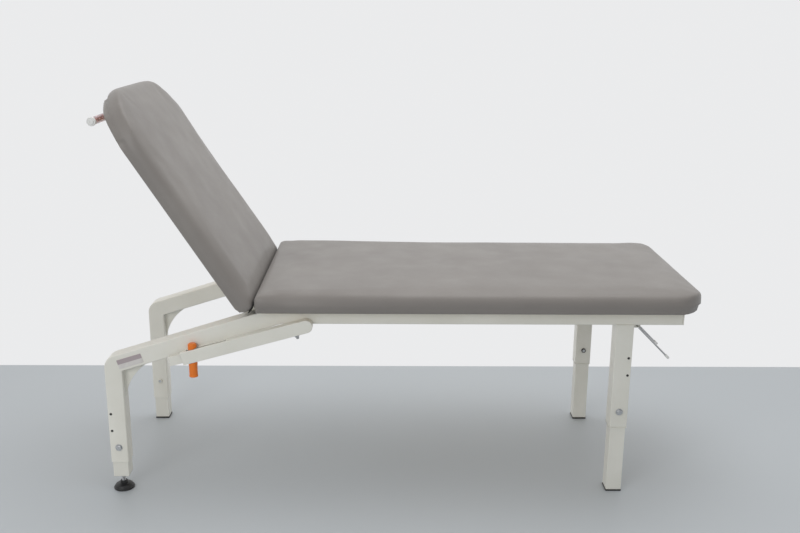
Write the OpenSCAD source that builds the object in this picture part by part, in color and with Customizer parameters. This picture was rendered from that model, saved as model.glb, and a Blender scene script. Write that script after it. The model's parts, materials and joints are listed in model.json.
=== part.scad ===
// Examination table with a raised backrest, telescopic legs and a sliding release grip.
// X runs from the head end (-X) to the foot end (+X), Z is up, and the floor is at Z = 0.

/* [Cushions] */
// Width of the seat cushion
seat_w = 650; // [560:5:700]
// X of the foot end of the seat cushion
seat_foot_x = 938; // [900:1:960]
// Length of the backrest cushion
back_len = 694; // [640:2:700]
// Width of the backrest cushion
back_w = 626; // [560:2:640]
// Thickness of both cushions, board included
cushion_t = 60; // [56:1:64]
// Corner radius at the foot end of the seat
seat_corner_r = 96; // [60:2:120]
// Corner radius at the head end of the backrest
back_corner_r = 185; // [120:5:220]
// Radius of the upper cushion edges
edge_r = 26; // [20:1:28]
// Radius of the lower cushion edges
under_r = 8; // [4:1:12]
// Thickness of the plywood boards
board_t = 12; // [9:1:15]

/* [Backrest] */
// Angle at which the backrest stands, from flat
back_angle = 57.4; // [0:0.2:75]
// X of the backrest hinge axis
hinge_x = -346; // [-350:1:-342]
// Gap between the two cushions
cushion_gap = 3.5; // [3:0.5:6]

/* [Frame] */
// Distance between head and foot leg centres
leg_pitch = 1440; // [1400:5:1460]
// Distance between left and right leg centres
leg_gauge = 508; // [480:2:540]
// Side of the outer square tube
tube = 50; // [48:1:52]
// Wall of the outer square tube
tube_wall = 2.5; // [2:0.5:3]
// Side of the inner square tube
inner_tube = 44; // [42:0.5:44]
// Z of the underside of the side rails
rail_bottom = 516; // [500:1:530]
// Height of the side rails
rail_h = 40; // [36:1:44]
// X of the foot end of the rails
rail_end_x = 881; // [860:1:890]
// Slope of the head beams
beam_slope = 17.45; // [16:0.05:18]
// Z of the beam's top line above the head leg centre
beam_top_z = 418.4; // [410:0.2:425]
// Z at which the outer tube of the right head leg ends
head_tube_right = 93; // [85:1:110]
// Z at which the outer tube of the left head leg ends
head_tube_left = 77; // [70:1:110]
// Z at which the outer tubes of the foot legs end
foot_tube_end = 204; // [190:1:220]
// Z of the leg bolts at the head end
head_bolt_z = 139; // [130:1:150]
// Z of the leg bolts at the foot end
foot_bolt_z = 253; // [240:1:265]
// Travel of each telescopic leg
leg_travel = 120; // [80:5:120]

/* [Levelling foot] */
// Radius of the levelling pad
pad_r = 29.5; // [24:0.5:32]
// Z at which the leg above the levelling foot ends
level_leg_end = 46; // [40:1:52]

/* [Gas spring] */
// Distance from the hinge axis to the lift pin
lever_arm = 70; // [66:1:72]
// Backrest angle at which the lift pin is straight below the hinge
lever_mid_angle = 37.5; // [36:0.5:39]
// Radius of the gas cylinder
gas_r = 14; // [13:0.5:15]
// Radius of the gas rod
gas_rod_r = 5; // [4:0.5:6]

/* [Release grip] */
// Slope of the release guide
guide_slope = 15.5; // [14:0.5:17]
// Length of the release guide
guide_len = 360; // [340:5:370]
// Height of the release guide
guide_h = 37; // [34:1:40]
// Width of the release guide
guide_w = 26; // [24:1:30]
// Radius of the orange grip
grip_r = 12.5; // [11:0.5:14]
// Travel of the release grip along its slot
grip_travel = 88; // [60:2:88]

/* [Rear bar] */
// Half the length of the rear bar
bar_half = 256; // [230:2:270]
// Radius of the rear bar
bar_r = 10.5; // [9:0.5:12]

/* [Foot hanger] */
// Radius of the hanger wire
wire_r = 2.5; // [2:0.1:3]
// Length of each hanger prong
wire_len = 129; // [100:1:130]
// Distance between the hanger's two prongs
wire_gauge = 117; // [90:1:120]

/* [Hidden] */
$fn = 64;

// Placement: everything is drawn with X = 0 midway between the legs, then shifted
head_x = -leg_pitch / 2;
foot_x = leg_pitch / 2;
side_y = leg_gauge / 2;
origin_x = (seat_foot_x + head_x - pad_r) / 2;

// Heights
rail_top = rail_bottom + rail_h;
seat_top = rail_top + cushion_t;
hinge_z = rail_top + cushion_t / 2;
nose_r = cushion_t / 2;
back_end_x = hinge_x + nose_r;
back_head_x = back_end_x - back_len;
seat_head_x = back_end_x + cushion_gap;
board_inset = 18;
seat_hinge_corner_r = 15;
back_hinge_corner_r = 12;

// Frame
rise = tan(beam_slope);
beam_drop = tube / cos(beam_slope);
corner_r = 38;
corner_x = head_x - tube / 2 + corner_r;
corner_z = beam_top(corner_x) - corner_r / cos(beam_slope);
mitre_top_x = head_x + (rail_top - beam_top_z) / rise;
mitre_low_x = head_x + (rail_bottom + beam_drop - beam_top_z) / rise;
bore = tube - 2 * tube_wall;
gusset_t = 6;
label_w = 72;
label_h = 27;
label_drop = 44;
gusset_leg = 86;
gusset_r = 150;
cross_w = 30;
cross_h = 40;
hinge_cross_x = -267;
middle_cross_x = 300;
foot_cross_x = 835;
cross_half = side_y - tube / 2;

// Hinge
lug_y = 200;
lug_t = 6;
lug_r = 12;
plate_t = 6;
plate_y = lug_y - lug_t / 2 - 2 - plate_t / 2;
pin_r = 5;
running = 0.05;
notch = nose_r + 13;

// Gas spring
rod_z = 523;
crossbar_z = rod_z - cross_h / 2;
pin_swing = back_angle - lever_mid_angle;
fork_shift = 1;
fork_x = hinge_x - lever_arm * sin(pin_swing) + fork_shift;
fork_slot_w = 13;
fork_slot_h = 32;
fork_t = 12;
lever_t = 5;
lever_gap = 2;
cyl_start = hinge_cross_x + cross_w / 2 + 1;
cyl_len = 190;
piston_x = -215;
piston_len = 15;
valve_x = cyl_start + cyl_len + 16;

// Release guide, in its own frame: s along the guide, t across it
guide_x = -520;
guide_z = 419.7;
guide_y = -side_y - tube / 2 - guide_w / 2;
guide_wall = 3;
grip_s = 30;
bar_out = 38;
bar_in = 150;
slide_w = 15;
slide_h = 26;
slot_w = 13;
slot_end = 14;
post_r = 6;

// Legs
inner_wall = 2;
inner_bore = inner_tube - 2 * inner_wall;
cap_t = 5;
stem_r = 5;
bolt_r = 5;
slot_side = 12;
screw_off = 16;
screw_pitch = 52;

// Rear bar, in the flat backrest's frame
bar_x = hinge_x - 618;
bar_z = hinge_z - 66;
bracket_y = 88;
bracket_t = 8;

// Foot hanger
hanger_x = 757;
hanger_z = rail_bottom - 6.5;
hanger_y0 = -side_y - tube / 2 + 3;
hanger_y1 = hanger_y0 + wire_gauge;
hanger_angle = 45;

frame_col = [0.80, 0.79, 0.74];
pad_col = [0.57, 0.55, 0.53];
black = [0.10, 0.10, 0.10];
steel = [0.62, 0.63, 0.64];
wood = [0.72, 0.60, 0.42];
orange = [0.88, 0.42, 0.08];

function beam_top(x) = beam_top_z + (x - head_x) * rise;
function guide_pt(s) = [guide_x + s * cos(guide_slope), guide_z + s * sin(guide_slope)];

// ---- Helpers ----
module place() { translate([-origin_x, 0, 0]) children(); }

// Turns the flat backrest about the hinge to the angle at which it stands
module raised() {
    translate([hinge_x, 0, hinge_z]) rotate([0, back_angle, 0])
        translate([-hinge_x, 0, -hinge_z]) children();
}

// Extrudes an XZ outline along Y, centred on y
module side_plate(y, t) {
    translate([0, y + t / 2, 0]) rotate([90, 0, 0]) linear_extrude(t) children();
}

module both_sides() { for (s = [0, 1]) mirror([0, s, 0]) children(); }

// A box between two corners
module block(low, high) { translate(low) cube(high - low); }

// A rectangle whose corners have radii r = [low-low, high-low, high-high, low-high]
module round_box(low, high, r) {
    corners = [[low.x, low.y, 1, 1], [high.x, low.y, -1, 1],
               [high.x, high.y, -1, -1], [low.x, high.y, 1, -1]];
    difference() {
        translate(low) square(high - low);
        for (i = [0:3])
            translate([corners[i][0], corners[i][1]]) corner_cut(r[i], corners[i][2], corners[i][3]);
    }
}

module corner_cut(r, sx, sy) {
    scale_x = sx > 0 ? 0 : 1;
    scale_y = sy > 0 ? 0 : 1;
    mirror([scale_x, 0]) mirror([0, scale_y]) difference() {
        translate([-1, -1]) square(r + 1);
        translate([r, r]) circle(r, $fn = 96);
    }
}

module rod(a, r, length, axis) {
    turn = axis == "x" ? [0, 90, 0] : axis == "y" ? [-90, 0, 0] : [0, 0, 0];
    translate(a) rotate(turn) cylinder(r = r, h = length);
}

module square_tube(side, wall, z0, z1) {
    difference() {
        translate([-side / 2, -side / 2, z0]) cube([side, side, z1 - z0]);
        translate([wall - side / 2, wall - side / 2, z0 - 1])
            cube([side - 2 * wall, side - 2 * wall, z1 - z0 + 2]);
    }
}

module on_guide() { translate([guide_x, guide_y, guide_z]) rotate([0, -guide_slope, 0]) children(); }

// ---- Frame ----
module rail(side) {
    difference() {
        side_plate(side * side_y, tube) polygon([[mitre_top_x, rail_top], [mitre_low_x, rail_bottom],
            [rail_end_x, rail_bottom], [rail_end_x, rail_top]]);
        block([mitre_low_x + 4, side * side_y - bore / 2, rail_bottom + tube_wall],
              [rail_end_x + 1, side * side_y + bore / 2, rail_top - tube_wall]);
    }
}

module elbow_outline(z0) {
    back_x = head_x - tube / 2;
    face_x = head_x + tube / 2;
    touch = [corner_x - corner_r * sin(beam_slope), corner_z + corner_r * cos(beam_slope)];
    difference() {
        polygon([[back_x, z0], [back_x, beam_top(back_x)], [face_x, beam_top(face_x)], [face_x, z0]]);
        difference() {
            polygon([[back_x - 1, corner_z], [back_x - 1, beam_top(back_x) + corner_r],
                     touch + [0, corner_r], touch, [corner_x, corner_z]]);
            translate([corner_x, corner_z]) circle(corner_r);
        }
    }
}

// The beam's outline, drawn in by a wall thickness on its top, its underside and its mitre
module beam_outline(wall) {
    face_x = head_x + tube / 2;
    drop = wall / cos(beam_slope);
    top_x = mitre_top_x - wall;
    low_x = mitre_low_x - wall;
    polygon([[face_x, beam_top(face_x) - drop], [top_x, beam_top(top_x) - drop],
        [low_x, beam_top(low_x) - beam_drop + drop], [face_x, beam_top(face_x) - beam_drop + drop]]);
}

module beam(side) {
    difference() {
        side_plate(side * side_y, tube) beam_outline(0);
        side_plate(side * side_y, bore) beam_outline(tube_wall);
    }
}

module head_leg(side, z0) {
    difference() {
        side_plate(side * side_y, tube) elbow_outline(z0);
        translate([head_x, side * side_y, 0])
            block([-bore / 2, -bore / 2, z0 - 1], [bore / 2, bore / 2, corner_z - 12]);
        rod([head_x, side * side_y - tube, head_bolt_z], bolt_r + running, 2 * tube, "y");
    }
}

module foot_leg(side) {
    difference() {
        translate([foot_x, side * side_y, 0]) square_tube(tube, tube_wall, foot_tube_end, rail_bottom);
        rod([foot_x, side * side_y - tube, foot_bolt_z], bolt_r + running, 2 * tube, "y");
    }
}

module gusset_outline() {
    face_x = head_x + tube / 2;
    inner = [face_x, beam_top(face_x) - beam_drop];
    low = inner - [0, gusset_leg];
    high = [face_x + gusset_leg, beam_top(face_x + gusset_leg) - beam_drop];
    chord = high - low;
    out = [chord.y, -chord.x] / norm(chord);
    centre = (low + high) / 2 + out * sqrt(gusset_r * gusset_r - chord * chord / 4);
    difference() {
        polygon([low, inner, high]);
        translate(centre) circle(gusset_r, $fn = 180);
    }
}

module head_gussets() color(frame_col) place() both_sides() side_plate(side_y, gusset_t) gusset_outline();

module crossbar(x, z0) {
    difference() {
        block([x - cross_w / 2, -cross_half, z0], [x + cross_w / 2, cross_half, z0 + cross_h]);
        block([x - cross_w / 2 + tube_wall, -cross_half - 1, z0 + tube_wall],
              [x + cross_w / 2 - tube_wall, cross_half + 1, z0 + cross_h - tube_wall]);
    }
}

module hinge_crossbar() color(frame_col) place() difference() {
    crossbar(hinge_cross_x, crossbar_z);
    rod([hinge_cross_x - cross_w, 0, rod_z], gas_rod_r + 1, 2 * cross_w, "x");
}

module middle_crossbar() color(frame_col) place() crossbar(middle_cross_x, rail_top - cross_h);
module foot_crossbar() color(frame_col) place() crossbar(foot_cross_x, rail_top - cross_h);

module rail_plugs() color(frame_col) place() both_sides() {
    block([rail_end_x, side_y - tube / 2, rail_bottom], [rail_end_x + 3, side_y + tube / 2, rail_top]);
    block([rail_end_x - 12, side_y - bore / 2, rail_bottom + tube_wall],
          [rail_end_x, side_y + bore / 2, rail_top - tube_wall]);
}

module label_plate() color("white") place() {
    translate([head_x + 19, -side_y - tube / 2 - 1, beam_top(head_x + 19) - label_drop])
        rotate([0, -beam_slope, 0]) cube([label_w, 1, label_h]);
}

// ---- Seat ----
// Cushion solid between two X positions: plan outline, end profile and side profile, intersected
module cushion(x0, x1, w, plan_r, end_r) {
    intersection() {
        translate([0, 0, rail_top - 1]) linear_extrude(cushion_t + 2)
            round_box([x0, -w / 2], [x1, w / 2], plan_r);
        side_plate(0, w + 2) round_box([x0, rail_top], [x1, seat_top], end_r);
        translate([x0 - 1, 0, 0]) rotate([90, 0, 90]) linear_extrude(x1 - x0 + 2)
            round_box([-w / 2, rail_top], [w / 2, seat_top], [under_r, under_r, edge_r, edge_r]);
    }
}

module board(x0, x1, w, plan_r) {
    translate([0, 0, rail_top]) linear_extrude(board_t) round_box([x0, -w / 2], [x1, w / 2], plan_r);
}

module seat_board_solid() {
    r = seat_corner_r - board_inset;
    board(seat_head_x + board_inset, seat_foot_x - board_inset, seat_w - 2 * board_inset, [10, r, r, 10]);
}

module seat_board() color(wood) place() seat_board_solid();

module seat_cushion() color(pad_col) place() difference() {
    cushion(seat_head_x, seat_foot_x, seat_w,
            [seat_hinge_corner_r, seat_corner_r, seat_corner_r, seat_hinge_corner_r],
            [under_r, under_r, edge_r, edge_r]);
    seat_board_solid();
}

module seat_screws() color(steel) place() both_sides()
    for (x = [middle_cross_x, foot_cross_x]) for (y = [70, 190])
        rod([x, y, rail_top - cross_h - 2], 4, 2, "z");

// ---- Backrest ----
module hinge_lug_outline() {
    difference() {
        union() {
            translate([hinge_x, hinge_z]) circle(lug_r);
            polygon([[hinge_x - lug_r, hinge_z], [hinge_x + lug_r, hinge_z], [hinge_x + lug_r, rail_top - 4],
                     [hinge_cross_x - cross_w / 2, crossbar_z + cross_h - 2],
                     [hinge_cross_x - cross_w / 2, crossbar_z + 4], [hinge_x - lug_r, rail_top - 30]]);
        }
        translate([hinge_x, hinge_z]) circle(pin_r);
    }
}

module hinge_lugs() color(frame_col) place() both_sides() side_plate(lug_y, lug_t) hinge_lug_outline();

module hinge_pins() color(steel) place() both_sides() {
    rod([hinge_x, plate_y - plate_t / 2 - 2, hinge_z], pin_r,
        lug_y + lug_t / 2 - plate_y + plate_t / 2 + 2, "y");
    rod([hinge_x, lug_y + lug_t / 2, hinge_z], 8, 2.5, "y");
}

module back_plate_outline() {
    difference() {
        union() {
            translate([hinge_x, hinge_z]) circle(lug_r);
            polygon([[hinge_x - 104, rail_top - 4], [hinge_x - 104, rail_top + 10],
                     [hinge_x - 3.5, hinge_z + 11.4], [hinge_x + 11.4, hinge_z - 3.5],
                      [hinge_x - 16, rail_top - 4]]);
        }
        translate([hinge_x, hinge_z]) circle(pin_r + running);
    }
}

module back_hinge_plates() color(steel) place() raised() both_sides() {
    side_plate(plate_y, plate_t) back_plate_outline();
    block([hinge_x - 104, plate_y - 26, rail_top - 4], [hinge_x - 30, plate_y - plate_t / 2, rail_top]);
}

// Room in the board and the cushion for the hinge lugs and plates
module hinge_room() {
    both_sides() {
        block([back_end_x - notch, plate_y - plate_t / 2 - 4, rail_top - 1],
              [back_end_x + 1, lug_y + lug_t / 2 + 5, rail_top + notch]);
        block([hinge_x - 106, plate_y - plate_t / 2 - 0.5, rail_top - 1],
              [back_end_x - notch + 1, plate_y + plate_t / 2 + 0.5, rail_top + 38]);
    }
}

module back_board_solid() {
    r = back_corner_r - board_inset;
    difference() {
        board(back_head_x + board_inset, back_end_x - board_inset, back_w - 2 * board_inset, [r, 8, 8, r]);
        hinge_room();
    }
}

module back_board() color(wood) place() raised() back_board_solid();

module back_cushion() color(pad_col) place() raised() difference() {
    cushion(back_head_x, back_end_x, back_w,
            [back_corner_r, back_hinge_corner_r, back_hinge_corner_r, back_corner_r],
            [under_r, nose_r, nose_r, edge_r]);
    hinge_room();
    board(back_head_x + board_inset, back_end_x - board_inset, back_w - 2 * board_inset,
          [back_corner_r - board_inset, 8, 8, back_corner_r - board_inset]);
}

module back_screws() color(steel) place() raised() both_sides() {
    for (x = [hinge_x - 90, hinge_x - 50]) rod([x, plate_y - 16, rail_top - 6], 4, 2, "z");
    for (x = [bar_x - 16, bar_x + 36]) rod([x, bracket_y + 14, rail_top - 5.5], 3.5, 2.5, "z");
}

// ---- Gas spring ----
function pin_flat() = [hinge_x + lever_arm * sin(lever_mid_angle), hinge_z - lever_arm * cos(lever_mid_angle)];

module lift_lever_outline() {
    difference() {
        union() {
            translate(pin_flat()) circle(11);
            polygon([[hinge_x - 84, rail_top], [hinge_x - 84, rail_top - 9], pin_flat() + [-8, -8],
                     pin_flat() + [8, 8], [hinge_x - 4, rail_top]]);
        }
        translate(pin_flat()) circle(pin_r);
    }
}

module lift_levers() color(steel) place() raised() both_sides()
    side_plate(fork_t / 2 + lever_gap + lever_t / 2, lever_t) lift_lever_outline();

module lift_pin() color(steel) place() raised() {
    half = fork_t / 2 + lever_gap + lever_t;
    rod([pin_flat().x, -half - 3, pin_flat().y], pin_r, 2 * half + 6, "y");
    both_sides() rod([pin_flat().x, half, pin_flat().y], 8, 3, "y");
}

module rod_fork() color(steel) place() difference() {
    block([fork_x - 13.5, -fork_t / 2, rod_z - 24], [fork_x + 13.5, fork_t / 2, rod_z + 22]);
    block([fork_x - fork_slot_w / 2, -fork_t, rod_z + 1 - fork_slot_h / 2],
          [fork_x + fork_slot_w / 2, fork_t, rod_z + 1 + fork_slot_h / 2]);
}

module gas_rod() color(steel) place()
    rod([fork_x + 13.5, 0, rod_z], gas_rod_r, piston_x - fork_x - 13.5, "x");

module gas_piston() color(black) place() rod([piston_x, 0, rod_z], gas_r - 2 - running, piston_len, "x");

module gas_cylinder() color(black) place() difference() {
    rod([cyl_start, 0, rod_z], gas_r, cyl_len, "x");
    rod([cyl_start + 7, 0, rod_z], gas_r - 2, cyl_len - 14, "x");
    rod([cyl_start - 1, 0, rod_z], gas_rod_r + running, 10, "x");
}

module gas_end_cap() color(steel) place() {
    rod([cyl_start + cyl_len, 0, rod_z], 9, 8, "x");
    for (s = [-1, 1])
        block([cyl_start + cyl_len + 8, s * 7 - 2, rod_z - 8], [valve_x + 7, s * 7 + 2, rod_z + 8]);
    rod([valve_x, -9, rod_z], 2.95, 18, "y");
}

module valve_lever() color(steel) place() difference() {
    union() {
        rod([valve_x, -4, rod_z], 7, 8, "y");
        block([valve_x - 3, -4, rod_z - 44], [valve_x + 3, 4, rod_z]);
    }
    rod([valve_x, -5, rod_z], 3, 10, "y");
}

// ---- Release grip ----
module release_guide() color(frame_col) place() on_guide() difference() {
    union() {
        block([0, -guide_w / 2, -guide_h / 2], [guide_len, guide_w / 2, guide_h / 2]);
        rod([guide_len, -guide_w / 2, 0], guide_h / 2, guide_w, "y");
    }
    block([-1, -guide_w / 2 + guide_wall, -guide_h / 2 + guide_wall],
          [guide_len - 18, guide_w / 2 - guide_wall, guide_h / 2 - guide_wall]);
    block([grip_s - slot_end, -slot_w / 2, -guide_h], [grip_s + slot_end + grip_travel, slot_w / 2, guide_h]);
}

module guide_plug() color(frame_col) place() on_guide() difference() {
    block([0.5, -guide_w / 2 + guide_wall, -guide_h / 2 + guide_wall],
          [14, guide_w / 2 - guide_wall, guide_h / 2 - guide_wall]);
    block([-1, -slide_w / 2 - 0.5, -slide_h / 2 - 0.5], [15, slide_w / 2 + 0.5, slide_h / 2 + 0.5]);
}

module guide_bolts() color(steel) place() on_guide() {
    rod([guide_len - 34, 0, -guide_h / 2 - 14], 4, 9, "z");
    rod([guide_len - 34, 0, -guide_h / 2 - 5], 8, 5, "z");
}

module release_bar() color(steel) place() on_guide() difference() {
    block([-bar_out, -slide_w / 2, -slide_h / 2], [bar_in, slide_w / 2, slide_h / 2]);
    rotate([0, guide_slope, 0]) translate([grip_s * cos(guide_slope), 0, grip_s * sin(guide_slope) - 30])
        cylinder(r = post_r, h = 60);
}

// The grip's axis stands upright and crosses the guide at grip_s
module at_grip() {
    p = guide_pt(grip_s);
    translate([p.x, guide_y, p.y]) children();
}

module grip_post() color(steel) place() at_grip() translate([0, 0, -48]) cylinder(r = post_r, h = 76);

module grip_cap() color(orange) place() at_grip() difference() {
    union() {
        translate([0, 0, 24.5]) cylinder(r = grip_r, h = 8);
        translate([0, 0, 32.5]) cylinder(r1 = grip_r, r2 = grip_r - 4, h = 7);
    }
    translate([0, 0, 20]) cylinder(r = post_r, h = 8);
}

module grip_sleeve() color(orange) place() at_grip() difference() {
    union() {
        translate([0, 0, -63]) cylinder(r1 = grip_r - 2, r2 = grip_r, h = 3);
        translate([0, 0, -60]) cylinder(r = grip_r, h = 35.5);
    }
    translate([0, 0, -48]) cylinder(r = post_r, h = 40);
}

module release_spring() color(steel) place() on_guide() difference() {
    rod([bar_in + 1, 0, 0], 6.5, guide_len - 20 - bar_in - 1, "x");
    rod([bar_in, 0, 0], 5, guide_len - bar_in, "x");
}

// ---- Telescopic legs ----
module inner_leg(x, side, z0, z1, bolt_z) {
    difference() {
        translate([x, side * side_y, 0]) square_tube(inner_tube, inner_wall, z0, z1);
        block([x - slot_side / 2, side * side_y - tube, bolt_z - slot_side / 2],
              [x + slot_side / 2, side * side_y + tube, bolt_z + slot_side / 2 + leg_travel]);
    }
}

module leg_cap(x, side) {
    half = inner_tube / 2;
    plug = inner_bore / 2;
    translate([x, side * side_y, 0]) {
        block([-half - 1, -half - 1, 0], [half + 1, half + 1, cap_t]);
        block([-plug, -plug, cap_t], [plug, plug, cap_t + 20]);
    }
}

module level_insert() color(black) place() translate([head_x, -side_y, 0]) difference() {
    block([-inner_bore / 2, -inner_bore / 2, level_leg_end],
          [inner_bore / 2, inner_bore / 2, level_leg_end + 16]);
    translate([0, 0, level_leg_end - 1]) cylinder(r = stem_r + running, h = 20);
}

module level_stem() color(steel) place() translate([head_x, -side_y, 12]) cylinder(r = stem_r, h = 84);

module level_nut() color(steel) place() translate([head_x, -side_y, level_leg_end - 9.5]) difference() {
    cylinder(r = 9.5, h = 8, $fn = 6);
    translate([0, 0, -1]) cylinder(r = stem_r + running, h = 10, $fn = 64);
}

module level_pad() color(black) place() translate([head_x, -side_y, 0]) difference() {
    union() {
        cylinder(r = pad_r, h = 6);
        translate([0, 0, 6]) cylinder(r1 = pad_r, r2 = 13, h = 10);
        translate([0, 0, 16]) cylinder(r = 10, h = 8);
    }
    translate([0, 0, 12]) cylinder(r = stem_r, h = 20);
}

module at_legs() {
    for (leg = [[head_x, head_bolt_z], [foot_x, foot_bolt_z]])
        both_sides() translate([leg.x, side_y, leg.y]) children();
}

module leg_bolts() color(steel) place() at_legs() {
    translate([0, tube / 2 + 6.5, 0]) rotate([90, 0, 0]) cylinder(r = 9, h = 6.5, $fn = 6);
    rod([0, -tube / 2 - 9, 0], bolt_r, tube + 9, "y");
}

module leg_nuts() color(steel) place() at_legs() difference() {
    translate([0, -tube / 2, 0]) rotate([90, 0, 0]) cylinder(r = 9, h = 8, $fn = 6);
    rod([0, -tube, 0], bolt_r, tube, "y");
}

module leg_screws() color(black) place() both_sides()
    for (leg = [[head_x - screw_off, head_bolt_z + screw_pitch], [foot_x + screw_off, foot_bolt_z + 112]])
        for (i = [0, 1]) rod([leg.x, side_y + tube / 2, leg.y + i * screw_pitch], 3.8, 1.6, "y");

// ---- Rear bar ----
module bar_brackets() color(steel) place() raised() both_sides() difference() {
    union() {
        side_plate(bracket_y, bracket_t) union() {
            translate([bar_x, bar_z]) circle(bar_r + 4);
            polygon([[bar_x - 15, bar_z], [bar_x + 15, bar_z],
                     [bar_x + 26, rail_top - 3], [bar_x - 10, rail_top - 3]]);
        }
        block([bar_x - 26, bracket_y - bracket_t / 2, rail_top - 3], [bar_x + 46, bracket_y + 24, rail_top]);
    }
    rod([bar_x, 0, bar_z], bar_r + running, 2 * bracket_y, "y");
}

module rear_bar() color(steel) place() raised() rod([bar_x, -bar_half, bar_z], bar_r, 2 * bar_half, "y");

module bar_caps() color("white") place() raised() both_sides() difference() {
    union() {
        rod([bar_x, bar_half - 8, bar_z], bar_r + 1.5, 10, "y");
        rod([bar_x, bar_half + 2, bar_z], bar_r - 2, 2, "y");
    }
    rod([bar_x, 0, bar_z], bar_r, bar_half, "y");
}

// ---- Foot hanger ----
module hanger_bracket() color(frame_col) place() difference() {
    block([hanger_x - 9, hanger_y0 + 12, hanger_z - 6], [hanger_x + 9, -side_y + tube / 2 - 4, rail_bottom]);
    rod([hanger_x, hanger_y0, hanger_z], wire_r + running, wire_gauge, "y");
}

module hanger_spring() color(steel) place() difference() {
    rod([hanger_x, -side_y + tube / 2, hanger_z], wire_r + 2.2, 26, "y");
    rod([hanger_x, hanger_y0, hanger_z], wire_r + 0.3, wire_gauge, "y");
}

module wire_hanger() color(steel) place() {
    rod([hanger_x, hanger_y0, hanger_z], wire_r, wire_gauge, "y");
    for (y = [hanger_y0, hanger_y1]) translate([hanger_x, y, hanger_z]) {
        sphere(wire_r + 0.3);
        rotate([0, 90 + hanger_angle, 0]) cylinder(r = wire_r, h = wire_len);
    }
}

module wire_tips() color(black) place()
    for (y = [hanger_y0, hanger_y1])
        translate([hanger_x, y, hanger_z]) rotate([0, 90 + hanger_angle, 0]) difference() {
        translate([0, 0, wire_len - 12]) cylinder(r = wire_r + 1.2, h = 15);
        translate([0, 0, wire_len - 13]) cylinder(r = wire_r, h = 13);
    }

color(frame_col) place() rail(-1);  // right_rail
color(frame_col) place() rail(1);  // left_rail
color(frame_col) place() beam(-1);  // right_beam
color(frame_col) place() beam(1);  // left_beam
color(frame_col) place() head_leg(-1, head_tube_right);  // right_head_leg
color(frame_col) place() head_leg(1, head_tube_left);  // left_head_leg
color(frame_col) place() foot_leg(-1);  // right_foot_leg
color(frame_col) place() foot_leg(1);  // left_foot_leg
head_gussets();
hinge_crossbar();
middle_crossbar();
foot_crossbar();
rail_plugs();
label_plate();
seat_board();
seat_cushion();
seat_screws();
hinge_lugs();
hinge_pins();
back_hinge_plates();
back_board();
back_cushion();
back_screws();
lift_levers();
lift_pin();
rod_fork();
gas_rod();
gas_piston();
gas_cylinder();
gas_end_cap();
valve_lever();
release_guide();
guide_plug();
guide_bolts();
release_bar();
grip_post();
grip_cap();
grip_sleeve();
release_spring();
color(frame_col) place() inner_leg(head_x, -1, level_leg_end, 345, head_bolt_z);  // right_head_inner
color(frame_col) place() inner_leg(head_x, 1, cap_t, 345, head_bolt_z);  // left_head_inner
color(frame_col) place() inner_leg(foot_x, -1, cap_t, 500, foot_bolt_z);  // right_foot_inner
color(frame_col) place() inner_leg(foot_x, 1, cap_t, 500, foot_bolt_z);  // left_foot_inner
color(black) place() leg_cap(head_x, 1);  // left_head_cap
color(black) place() leg_cap(foot_x, -1);  // right_foot_cap
color(black) place() leg_cap(foot_x, 1);  // left_foot_cap
level_insert();
level_stem();
level_nut();
level_pad();
leg_bolts();
leg_nuts();
leg_screws();
bar_brackets();
rear_bar();
bar_caps();
hanger_bracket();
hanger_spring();
wire_hanger();
wire_tips();
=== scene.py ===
"""The looks of the examination table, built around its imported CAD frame. Lengths are in metres."""
import json
import math

import bmesh
import bpy
from mathutils import Matrix, Vector, noise


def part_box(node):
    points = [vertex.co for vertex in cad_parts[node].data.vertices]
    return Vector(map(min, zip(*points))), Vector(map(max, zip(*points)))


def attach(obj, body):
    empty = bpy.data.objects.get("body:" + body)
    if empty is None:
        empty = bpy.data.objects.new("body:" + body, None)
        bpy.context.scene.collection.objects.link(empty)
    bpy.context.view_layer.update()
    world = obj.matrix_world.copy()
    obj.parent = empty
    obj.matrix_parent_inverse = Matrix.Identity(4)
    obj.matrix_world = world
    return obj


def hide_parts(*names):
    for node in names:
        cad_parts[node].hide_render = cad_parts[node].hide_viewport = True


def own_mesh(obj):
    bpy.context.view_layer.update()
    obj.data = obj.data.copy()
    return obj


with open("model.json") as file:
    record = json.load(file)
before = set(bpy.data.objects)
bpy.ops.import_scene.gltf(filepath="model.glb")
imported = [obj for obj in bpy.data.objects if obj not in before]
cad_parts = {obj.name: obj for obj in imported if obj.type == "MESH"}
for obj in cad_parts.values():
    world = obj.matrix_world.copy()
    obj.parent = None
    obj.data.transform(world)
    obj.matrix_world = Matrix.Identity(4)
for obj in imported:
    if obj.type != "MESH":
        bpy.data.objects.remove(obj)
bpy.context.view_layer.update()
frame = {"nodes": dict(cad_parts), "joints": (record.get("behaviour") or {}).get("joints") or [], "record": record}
nodes = frame["nodes"]
joints = {j["name"]: j for j in frame["joints"]}
body_of_node = {n: b for b, members in frame["record"]["behaviour"]["bodies"].items() for n in members}
slot_of_node = {p["node"]: p["material_slot"] for p in frame["record"]["subparts"]}
MM = 0.001
BEAM_SLOPE = math.radians(17.45)
X, Y, Z = Vector((1, 0, 0)), Vector((0, 1, 0)), Vector((0, 0, 1))

# ---- Camera: a 42 mm lens at standing eye height, a little to the head side of the table ----
CAMERA_AT = Vector((-0.0449, -2.7552, 1.3562))
CAMERA_LENS = 42.07
CAMERA_PITCH = math.radians(15.195)
CAMERA_YAW = math.radians(0.8595)
CAMERA_ROLL = math.radians(0.4628)


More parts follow.
